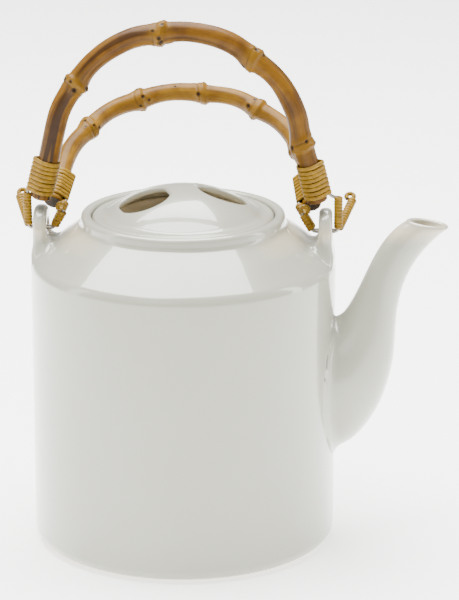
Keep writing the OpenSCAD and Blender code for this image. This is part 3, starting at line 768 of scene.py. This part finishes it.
def lidField(x, y, z):
    turn = math.radians(lid["turn"])
    u = x * math.cos(turn) + y * math.sin(turn)
    v = y * math.cos(turn) - x * math.sin(turn)
    r = np.hypot(x, y)
    spring = lidRadius - lid["lip"]
    ball = (spring ** 2 + lid["domeHeight"] ** 2) / (2 * lid["domeHeight"])
    rise = np.sqrt(r ** 2 + (z - flangeHeight + ball - lid["domeHeight"]) ** 2)
    shell = lid["wall"] / 2
    dome = roundedBox(np.abs(rise - ball + shell) - shell, seatHeight + lid["domeFoot"] - z, lid["domeEdge"])
    middle = (flangeHeight + seatHeight) / 2
    flange = roundedBox(np.abs(z - middle) - (flangeHeight - seatHeight) / 2,
                        np.maximum(r - lidRadius, lid["flangeBore"] - r), lid["lipRound"])
    shell = lid["skirtThick"] / 2
    skirt = roundedBox(np.abs(r - lid["skirtRadius"] + shell) - shell,
                       np.maximum(lidLow.z - z, z - seatHeight - lid["skirtTop"]), lid["skirtRound"])
    whole = smoothMin(smoothMin(dome, flange, lid["flangeBlend"]), skirt, lid["skirtBlend"])
    across = np.abs(u) - lid["gripX"]
    grip = np.hypot(across, np.maximum(np.abs(v) - lid["gripHalf"], 0)) - lid["gripRadius"]
    grip = np.maximum(grip, seatHeight + lid["gripFoot"] - z)
    return smoothMax(whole, -grip, lid["gripRound"])


def makeLid():
    reach = lidRadius + lid["room"]
    low = (-reach, -reach, lidLow.z - lid["room"])
    high = (reach, reach, lidHigh.z + lid["room"])
    piece = makePiece("lid", *isoSkin(lidField, low, high, lid["step"]), porcelain)
    place(piece, "lid", "porcelain", "lid")
    wellLow, wellHigh = boxMm("lid_well")
    outer = wellHigh.x
    bend = well["round"]
    rim = well["rim"]
    top = wellHigh.z - well["drop"] - rim
    low = wellLow.z + bend
    profile = ([(0, wellLow.z)] + arc(outer - bend, low, bend, -90, 0, 10)
               + [(outer, top)] + arc(outer - rim, top, rim, 0, 90, 3)
               + arc(outer - well["thick"] + rim, top, rim, 90, 180, 3)
               + arc(outer - bend, low, bend - well["thick"], 0, -90, 10)
               + [(0, wellLow.z + well["thick"])])
    # the well inside the lid takes the painted-shade cream glaze
    bowl = makePiece("lidWell", *lathe(profile, 160), shadedWellGlaze)
    place(bowl, "lid", "porcelain", "lid_well")


# ---- infuser ----

infuser = {"columns": 68, "rows": 20, "pitch": 3.7, "hole": 0.27, "sheet": 0.6, "plainFoot": 6.0,
           "cuts": 4, "weld": 0.03, "rimBow": 70, "rimEdge": 0.3, "rimTop": 0.6, "rimInner": 1.4,
           "rimFall": (0.4, 0.25)}


def makeInfuser():
    wallLow, wallHigh = boxMm("infuser_wall")
    rimLow, rimHigh = boxMm("infuser_rim")
    radius = wallHigh.x
    cuts = infuser["cuts"]
    steps = [i / cuts - 0.5 for i in range(cuts)]
    tile = [(t, -0.5) for t in steps] + [(0.5, t) for t in steps]
    tile += [(-t, 0.5) for t in steps] + [(-0.5, -t) for t in steps]
    hole = [(infuser["hole"] * math.cos(a), infuser["hole"] * math.sin(a))
            for a in [math.atan2(y, x) for x, y in tile]]
    points = [(x / mm, y / mm, 0) for x, y in tile + hole]
    n = len(tile)
    faces = [(i, (i + 1) % n, n + (i + 1) % n, n + i) for i in range(n)]
    rough = makePiece("infuserTile", points, faces, stainless)
    base = wallLow.z + infuser["plainFoot"]
    top = base + infuser["rows"] * infuser["pitch"]
    runTree(rough, perforationTree(), {
        "Columns": infuser["columns"], "Rows": infuser["rows"], "Radius": radius * mm,
        "Pitch": infuser["pitch"] * mm, "Base": (base + top) / 2 * mm, "Sheet": stainless})
    wall = settled(rough, "infuserWall")
    # plain bands below and above the holes, in step with the edges of the rolled tiles
    turns = infuser["columns"] * cuts
    angles = [-1.5 * math.pi + 2 * math.pi * i / turns for i in range(turns)]
    points = [tuple(v.co / mm) for v in wall.data.vertices]
    faces = [tuple(f.vertices) for f in wall.data.polygons]
    for band in ((wallLow.z, base), (top, wallHigh.z)):
        low = len(points)
        high = low + turns
        points += [(radius * math.cos(a), radius * math.sin(a), z) for z in band for a in angles]
        faces += [(low + i, low + (i + 1) % turns, high + (i + 1) % turns, high + i) for i in range(turns)]
    bpy.data.objects.remove(wall)
    wall = makePiece("infuserWall", points, faces, stainless)
    weld = wall.modifiers.new("weld", "WELD")
    weld.merge_threshold = infuser["weld"] * mm
    thick = wall.modifiers.new("sheet", "SOLIDIFY")
    thick.thickness = infuser["sheet"] * mm
    thick.offset = -1
    wall = settled(wall, "infuserWall")
    place(wall, "infuser", "stainless", "infuser_wall")
    inner = radius - infuser["sheet"]
    edge = rimHigh.x
    r = (rimHigh.z - rimLow.z) / 2
    inward, fall = infuser["rimFall"]
    rim = ([(inner, rimLow.z), (edge - infuser["rimEdge"], rimLow.z)]
           + arc(edge - r, rimLow.z + r, r, -infuser["rimBow"], infuser["rimBow"], 6)
           + [(edge - infuser["rimTop"], rimHigh.z), (inner + infuser["rimInner"], rimHigh.z)]
           + [(inner + inward, rimHigh.z - fall)])
    ring = makePiece("infuserRim", *lathe(rim, 160, loop=True), stainless)
    place(ring, "infuser", "stainless", "infuser_rim")
    floor = frame["nodes"]["infuser_floor"]
    floor.data.materials.clear()
    floor.data.materials.append(stainless)


# ---- bails ----

frontBail = {"name": "front", "body": "front_bail", "joint": "front_bail_swing", "slot": "cane_dark",
             "bowIn": 10.0, "bowHeight": 40.0, "splay": 14.0, "thick": 10.6, "endHeight": 15.5,
             "shift": -2.0, "lean": 3.0, "tail": 11.5, "tailTilt": 30.0, "face": 1,
             "knuckles": [-56.0, -8.0, 38.0, 85.0], "seed": 3.1, "scorch": (1.0, 0.3)}
rearBail = {"name": "rear", "body": "rear_bail", "joint": "rear_bail_swing", "slot": "cane_light",
            "bowIn": 9.0, "bowHeight": 32.5, "splay": 9.0, "thick": 9.6, "endHeight": 16.0,
            "shift": -1.6, "lean": -58.0, "tail": 23.0, "tailTilt": 18.0, "face": -1,
            "knuckles": [-56.0, -25.0, 6.0, 35.0, 69.0], "seed": 8.7, "scorch": (0.25, 0.4)}
# root scars of each knuckle: degrees round from the outer edge, millimetres along, radius
frontBail["scars"] = [
    [(96, -1.0, 1.5), (150, 2.5, 1.7), (60, 1.5, 1.0), (20, 0, 1.2), (215, 1, 1.4), (290, 0, 1.3)],
    [(118, 0.5, 1.6), (95, 0.0, 1.2), (165, -2.2, 1.3), (175, 4.2, 1.3), (60, -2.5, 0.9),
     (35, 2.0, 1.0), (235, 1, 1.5), (300, 0, 1.3)],
    [(150, -2.5, 2.1), (28, -2.0, 1.3), (24, 2.2, 1.0), (215, 0, 1.5), (290, 0.5, 1.4)],
    [(60, -1.5, 1.2), (140, 0.5, 1.4), (10, 1.5, 1.2), (230, 0, 1.3), (310, 0, 1.2)]]
rearBail["scars"] = [
    [(14, 0.5, 1.5), (70, 0.0, 1.0), (100, -3.0, 0.7), (128, 0.5, 0.9), (160, 2.8, 1.4), (250, 0, 1.3)],
    [(58, -0.5, 1.2), (122, 1.0, 1.4), (150, 4.0, 1.0), (165, -1.5, 1.0), (230, 0, 1.3), (310, 1, 1.2)],
    [(140, -1.5, 1.3), (30, 0.0, 0.8), (100, -14.0, 0.9), (70, -20.0, 0.8), (250, 0, 1.2), (320, 0, 1.2)],
    [(82, -2.0, 1.1), (138, -3.0, 1.5), (60, 0.5, 0.8), (220, 0, 1.3), (300, 0, 1.2)],
    [(70, -3.0, 1.5), (120, 2.0, 1.2), (100, 5.0, 0.9), (75, 9.0, 0.9), (105, 14.0, 1.1),
     (85, 17.0, 0.9), (240, 0, 1.2)]]
knuckle = {"shape": [(0.95, 0.0, 3.6), (0.5, 1.3, 0.75), (-0.35, -1.9, 0.6), (-0.25, 3.4, 0.8),
                     (-0.25, 14.0, 9.0)],     # what is added: height, millimetres along, spread
           "waves": (1.1, 0.6), "phase": 2.1, "golden": 4.2, "groove": (0.55, -1.9, 0.35),
           "kink": (1.1, 9)}
scarPit = {"stretch": 1.15, "spread": 1.2, "swell": (0.5, 1.15), "pit": (0.75, 0.5),
           "tone": (1.35, 1.7, 0.7)}
cane = {"sides": 72, "step": 0.5, "slack": 0.15, "bow": 0.7, "drift": (0.5, 0.7), "driftLength": 22,
        "fade": 25, "lumps": 0.22, "lumpGirth": 2.2, "lumpLength": 16, "worn": (0.7, 0.9),
        "sawRings": (0.93, 0.6, 0.3), "sawTone": 0.85, "sawScorch": 0.6}
wire = {"thick": 2.4, "gap": 0.2, "hookGap": 0.7, "bend": 2.6, "eye": 1.9, "eyeThick": 1.5, "sides": 14,
        "eyeSpare": 0.05}
binding = {"length": 16.0, "gap": 3.2, "pitch": 1.95, "strip": 2.05, "thick": 0.75, "start": 0.6,
           "snug": 0.2, "press": 0.5, "tilt": 0.05, "wobble": 0.03}
wrap = {"thick": 4.3, "pitch": 1.55, "strip": 1.75, "rattan": 0.62, "bare": 2.1, "legShare": 0.84,
        "tilt": 0.16, "wobble": 0.05, "eyePitch": 0.9, "eyeStrip": 1.1, "eyeRattan": 0.35, "eyeTilt": 0.1}


def bailPoint(bail, x, s, depth=0.0):         # from the bail's own plane to the shared frame
    a = math.radians(bail["lean"])
    pin = hinges[bail["joint"]]
    return np.array((x, pin.y + depth * math.cos(a) - s * math.sin(a),
                     pin.z + depth * math.sin(a) + s * math.cos(a)))


def bowRadius(bail):
    return lugMiddle - bail["bowIn"]


def legX(bail, s):
    a = math.radians(bail["splay"])
    r = bowRadius(bail)
    return r * math.cos(a) + (bail["bowHeight"] + r * math.sin(a) - s) * math.tan(a)


def canePath(bail, step):                     # centre line in the bail's plane, left end to right end
    a = math.radians(bail["splay"])
    r = bowRadius(bail)
    turn = bail["bowHeight"] + r * math.sin(a)
    leg = (turn - bail["endHeight"]) / math.cos(a)
    bow = r * (math.pi - 2 * a)
    total = 2 * leg + bow
    places = np.linspace(0, total, int(total / step) + 1)
    centres = []
    outward = []
    for p in places:
        if p < leg or p > total - leg:
            side = -1 if p < leg else 1
            up = p if p < leg else total - p
            s = bail["endHeight"] + up * math.cos(a)
            centres.append((side * legX(bail, s) + bail["shift"], s))
            outward.append((side * math.cos(a), math.sin(a)))
        else:
            w = math.pi - a - (p - leg) / r
            centres.append((r * math.cos(w) + bail["shift"], bail["bowHeight"] + r * math.sin(w)))
            outward.append((math.cos(w), math.sin(w)))
    return places, np.array(centres), np.array(outward), leg


def knots(bail, leg):                         # where along the cane its knuckles are
    return [leg + bowRadius(bail) * math.radians(k + 90 - bail["splay"]) for k in bail["knuckles"]]


def caneSkin(bail, along, turn, leg):         # radius and the tones of knuckles and scars
    r = bail["thick"] / 2
    radius = np.full_like(along, r - cane["slack"])
    golden = np.zeros_like(along)
    scar = np.zeros_like(along)
    first, second = knuckle["waves"]
    tone, ahead, spread = knuckle["groove"]
    for i, k in enumerate(knots(bail, leg)):
        # the ridge isn't square to the cane
        wave = first * np.sin(turn + i * knuckle["phase"]) + second * np.sin(2 * turn + i)
        d = along - k - wave
        for height, offset, width in knuckle["shape"]:
            radius += height * np.exp(-((d - offset) / width) ** 2)
        golden = np.maximum(golden, np.exp(-(d / knuckle["golden"]) ** 2))
        groove = tone * np.exp(-((d - ahead) / spread) ** 2) * (0.5 + 0.5 * np.sin(3 * turn + i))
        scar = np.maximum(scar, groove)
        for angle, offset, size in bail["scars"][i]:
            gap = (turn - math.radians(angle) + math.pi) % (2 * math.pi) - math.pi
            far = np.hypot((along - k - offset) / scarPit["stretch"], gap * r) / (scarPit["spread"] * size)
            swell, swellWidth = scarPit["swell"]
            pit, pitWidth = scarPit["pit"]
            most, fall, power = scarPit["tone"]
            radius += swell * size * np.exp(-(far / swellWidth) ** 2)
            radius -= pit * size * np.exp(-(far / pitWidth) ** 4)
            scar = np.maximum(scar, np.clip(most - fall * far, 0, 1) ** power)
    return radius, golden, scar


def caneWander(bail, places, around, leg):    # small bends of the centre line and lumps of the skin
    total = places[-1]
    deep, wide = knuckle["kink"]
    dip = cane["bow"] - sum(deep * np.exp(-((places - k) / wide) ** 2) for k in knots(bail, leg))
    lumps = np.zeros((len(places), len(around)))
    bend = np.zeros((len(places), 2))
    for k, p in enumerate(places):
        drift = noise.noise_vector(Vector((p / cane["driftLength"], bail["seed"], 0)))
        fade = min(1.0, p / cane["fade"], (total - p) / cane["fade"])
        bend[k] = ((drift.x * cane["drift"][0] + dip[k]) * fade, drift.y * cane["drift"][1] * fade)
        for j, a in enumerate(around):
            spot = Vector((cane["lumpGirth"] * math.cos(a), cane["lumpGirth"] * math.sin(a),
                           p / cane["lumpLength"] + bail["seed"]))
            lumps[k, j] = noise.noise(spot)
    return bend, lumps


def sawnEnds(rings, points, faces, straight, places, r):   # flat ends, with rings to carry the pith
    sides = cane["sides"]
    for ring, backwards in ((0, False), (len(rings) - 1, True)):
        around = np.linspace(0, 2 * math.pi, sides, endpoint=False)
        middle = np.mean(rings[ring], axis=0)
        loops = [ring * sides]
        for share in cane["sawRings"]:
            loops.append(len(points))
            points += [middle + (p - middle) * share for p in rings[ring]]
            straight += [(r * share * math.cos(a), r * share * math.sin(a), places[ring]) for a in around]
        points.append(middle)
        straight.append((0, 0, places[ring]))
        hub = len(points) - 1
        end = [(a + j, b + j, b + (j + 1) % sides, a + (j + 1) % sides)
               for a, b in zip(loops, loops[1:]) for j in range(sides)]
        end += [(loops[-1] + j, hub, loops[-1] + (j + 1) % sides) for j in range(sides)]
        faces += [f[::-1] for f in end] if backwards else end


def makeCane(bail, material):
    places, centres, outward, leg = canePath(bail, cane["step"])
    total = places[-1]
    r = bail["thick"] / 2
    around = np.linspace(0, 2 * math.pi, cane["sides"], endpoint=False)
    along, turn = np.meshgrid(places, around, indexing="ij")
    radius, golden, scar = caneSkin(bail, along, turn, leg)
    bend, lumps = caneWander(bail, places, around, leg)
    radius += cane["lumps"] * lumps
    worn, reach = cane["worn"]
    radius -= worn * np.clip(1 - np.minimum(along, total - along) / reach, 0, 1) ** 2
    rings = []
    straight = []
    for k, p in enumerate(places):
        x, s = centres[k] + outward[k] * bend[k, 0]
        outs = radius[k] * np.cos(around)
        backs = radius[k] * np.sin(around)
        rings.append([bailPoint(bail, x + outward[k][0] * out, s + outward[k][1] * out, bend[k, 1] - back)
                      for out, back in zip(outs, backs)])
        straight += [(out, back, p) for out, back in zip(outs, backs)]
    points, faces = rows(rings, capped=False)
    skinned = len(points)
    sawnEnds(rings, points, faces, straight, places, r)
    a, b, c = (np.array(q) for q in (rings[5][0], rings[5][1], rings[6][0]))
    if np.cross(b - a, c - a) @ (a - np.mean(rings[5], axis=0)) < 0:
        faces = [f[::-1] for f in faces]
    piece = makePiece(bail["name"] + "Cane", points, faces, material)
    start, end = bail["scorch"]
    spare = len(points) - skinned
    for label, values, sawn in (("scar", scar, cane["sawTone"]), ("knuckle", golden, 0.0),
                                ("scorch", start + (end - start) * along / total, cane["sawScorch"])):
        attribute = piece.data.attributes.new(label, "FLOAT", "POINT")
        attribute.data.foreach_set("value", values.ravel().tolist() + [sawn] * spare)
    attribute = piece.data.attributes.new("straight", "FLOAT_VECTOR", "POINT")
    attribute.data.foreach_set("vector", (np.array(straight) * mm).ravel())
    place(piece, bail["body"], bail["slot"], bail["name"] + "_cane")


def hookCorners(bail, side):                  # as in the plan of the bail: binding, leg, hole, tail
    a = math.radians(bail["splay"])
    face = bail["face"]
    off = face * ((bail["thick"] + wire["thick"]) / 2 + wire["gap"])
    reach = wire["hookGap"] + wrap["thick"] / 2
    outerX = lugMiddle + lug["half"] + reach
    innerX = lugMiddle - lug["half"] - reach

    def beside(h):
        return np.array((side * (legX(bail, h) + off * math.cos(a)) + bail["shift"], h + off * math.sin(a)))

    top = beside(bail["endHeight"] + binding["gap"] + binding["length"] - 1)
    low = beside(bail["endHeight"] + binding["gap"] / 2)
    end = beside(bail["endHeight"])
    clear = max(side * end[0], outerX) if face > 0 else min(side * end[0], innerX)
    near = np.array((side * (outerX if face > 0 else innerX), 0))
    far = np.array((side * (innerX if face > 0 else outerX), 0))
    tilt = math.radians(bail["tailTilt"])
    lean = np.array((-face * side * math.sin(tilt), math.cos(tilt)))
    return [top, low, np.array((side * clear, end[1])), near, far, far + bail["tail"] * lean], lean


def eyePath(end, lean, curl, turns=0.66, steps=18):   # the open eye at a tail's tip
    across = np.array((lean[1], -lean[0])) * curl
    middle = end + across * wire["eye"]
    return [middle - across * wire["eye"] * math.cos(w) + lean * wire["eye"] * math.sin(w)
            for w in np.linspace(0, 2 * math.pi * turns, steps)]


def ringTurn(name, outline, normals, width, thick, tone):   # one turn of strip round an outline
    section = [(0.0, -0.5), (0.62, -0.47), (0.95, -0.28), (1.0, 0.0), (0.95, 0.28), (0.62, 0.47), (0.0, 0.5)]
    rings = [[(p[0] + n[0] * o * thick, p[1] + n[1] * o * thick, h * width) for o, h in section]
             for p, n in zip(outline, normals)]
    points, faces = rows(rings, loop=True)
    turn = makePiece(name, points, [f[::-1] for f in faces], tone)
    turn.hide_render = True
    return turn


def roundTurn(name, radius, width, thick):
    angles = np.linspace(0, 2 * math.pi, 28, endpoint=False)
    normals = [(math.cos(a), math.sin(a)) for a in angles]
    return ringTurn(name, [(radius * x, radius * y) for x, y in normals], normals, width, thick, rattan)


def strapTurn(name, big, small, apart, width, thick):   # round the cane and the wire laid on it
    lean = math.acos((big - small) / apart)
    normals = []
    outline = []
    for w in np.linspace(lean, 2 * math.pi - lean, 40):
        normals.append((math.cos(w), math.sin(w)))
        outline.append((big * math.cos(w), big * math.sin(w)))
    for w in np.linspace(-lean, lean, 14):
        normals.append((math.cos(w), math.sin(w)))
        outline.append((apart + small * math.cos(w), small * math.sin(w)))
    return ringTurn(name, outline, normals, width, thick, rattan)


def wind(name, path, turn, tree, pitch, side, tilt, wobble, seed):
    mesh = bpy.data.meshes.new(name)
    line = [(i, i + 1) for i in range(len(path) - 1)]
    mesh.from_pydata([tuple(c * mm for c in p) for p in path], line, [])
    rough = bpy.data.objects.new(name, mesh)
    scene.collection.objects.link(rough)
    runTree(rough, tree, {"Turn": turn, "Pitch": pitch * mm, "Side": tuple(side), "Tilt": tilt,
                          "Wobble": wobble, "Seed": seed, "Strip": rattan})
    return settled(rough, name)


def joined(name, pieces):
    first = pieces[0]
    with bpy.context.temp_override(active_object=first, object=first, selected_objects=pieces,
                                   selected_editable_objects=pieces):
        bpy.ops.object.join()
    first.name = name
    first.data.name = name
    return first


def makeHook(bail, side, label, tree, seed):
    corners, lean = hookCorners(bail, side)
    word = bail["name"] + label
    node = bail["name"] + "_" + label.lower()
    route = [bailPoint(bail, *c) for c in corners]
    path = resample(rounded(route, wire["bend"]), 0.5)
    eye = [bailPoint(bail, *c) for c in eyePath(corners[-1], lean, bail["face"] * side)]
    rod = np.array(list(path) + eye[1:])
    piece = makePiece(word + "Hook", *tube(rod, wire["eyeThick"] / 2 + wire["eyeSpare"], wire["sides"]),
                      drawnWire)
    place(piece, bail["body"], "hook_wire", node + "_hook")
    normal = bailPoint(bail, 0, 0, 1) - bailPoint(bail, 0, 0)
    # wound leg, wound tail and thinly wound eye
    legTurn = roundTurn("legTurn", wrap["thick"] / 2 - wrap["rattan"], wrap["strip"], wrap["rattan"])
    eyeTurn = roundTurn("eyeTurn", wire["eyeThick"] / 2, wrap["eyeStrip"], wrap["eyeRattan"])
    leg = [route[2] + (route[3] - route[2]) * t for t in np.linspace(0.0, wrap["legShare"], 8)]
    ends = wrap["bare"] / bail["tail"]
    tail = [route[4] + (route[5] - route[4]) * t for t in np.linspace(ends, 1 - 1.2 * ends, 12)]
    tilt = wrap["tilt"]
    wobble = wrap["wobble"]
    wound = [wind("legWinding", leg, legTurn, tree, wrap["pitch"], normal, tilt, wobble, seed),
             wind("tailWinding", tail, legTurn, tree, wrap["pitch"], normal, -tilt, wobble, seed + 1),
             wind("eyeWinding", eye, eyeTurn, tree, wrap["eyePitch"], normal, wrap["eyeTilt"], wobble,
                  seed + 2)]
    for turn in (legTurn, eyeTurn):
        bpy.data.objects.remove(turn)
    piece = joined(word + "Wrap", wound)
    place(piece, bail["body"], "rattan", node + "_wrap")
    # binding round the cane's end and the wire beside it
    off = (bail["thick"] + wire["thick"]) / 2 + wire["gap"]
    strap = strapTurn("strapTurn", bail["thick"] / 2, wire["thick"] / 2 - binding["snug"],
                      off - binding["press"], binding["strip"], binding["thick"])
    low = bail["endHeight"] + binding["gap"] - binding["start"]
    heights = np.linspace(low + 1, low + binding["length"] - 0.2, 12)
    line = [bailPoint(bail, side * legX(bail, h) + bail["shift"], h) for h in heights]
    a = math.radians(bail["splay"])
    toWire = bail["face"] * (bailPoint(bail, side * math.cos(a), math.sin(a)) - bailPoint(bail, 0, 0))
    bound = wind(word + "Binding", line, strap, tree, binding["pitch"], toWire, binding["tilt"],
                 binding["wobble"], seed + 3)
    bpy.data.objects.remove(strap)
    place(bound, bail["body"], "rattan", node + "_binding")


makePot()
makeLug("lugLeft", -1, "lug_left")
makeLug("lugRight", 1, "lug_right")
print("pot and lugs made")
makeSpout()
print("spout made")
makeLid()
print("lid made")
makeInfuser()
print("infuser made")
makeCane(frontBail, frontRoot)
makeCane(rearBail, rearRoot)
print("canes made")
winding = windingTree()
seedNow = 11
for bail in (frontBail, rearBail):
    for side, label in ((-1, "Left"), (1, "Right")):
        makeHook(bail, side, label, winding, seedNow)
        seedNow += 7
print("hooks, wraps and bindings made")
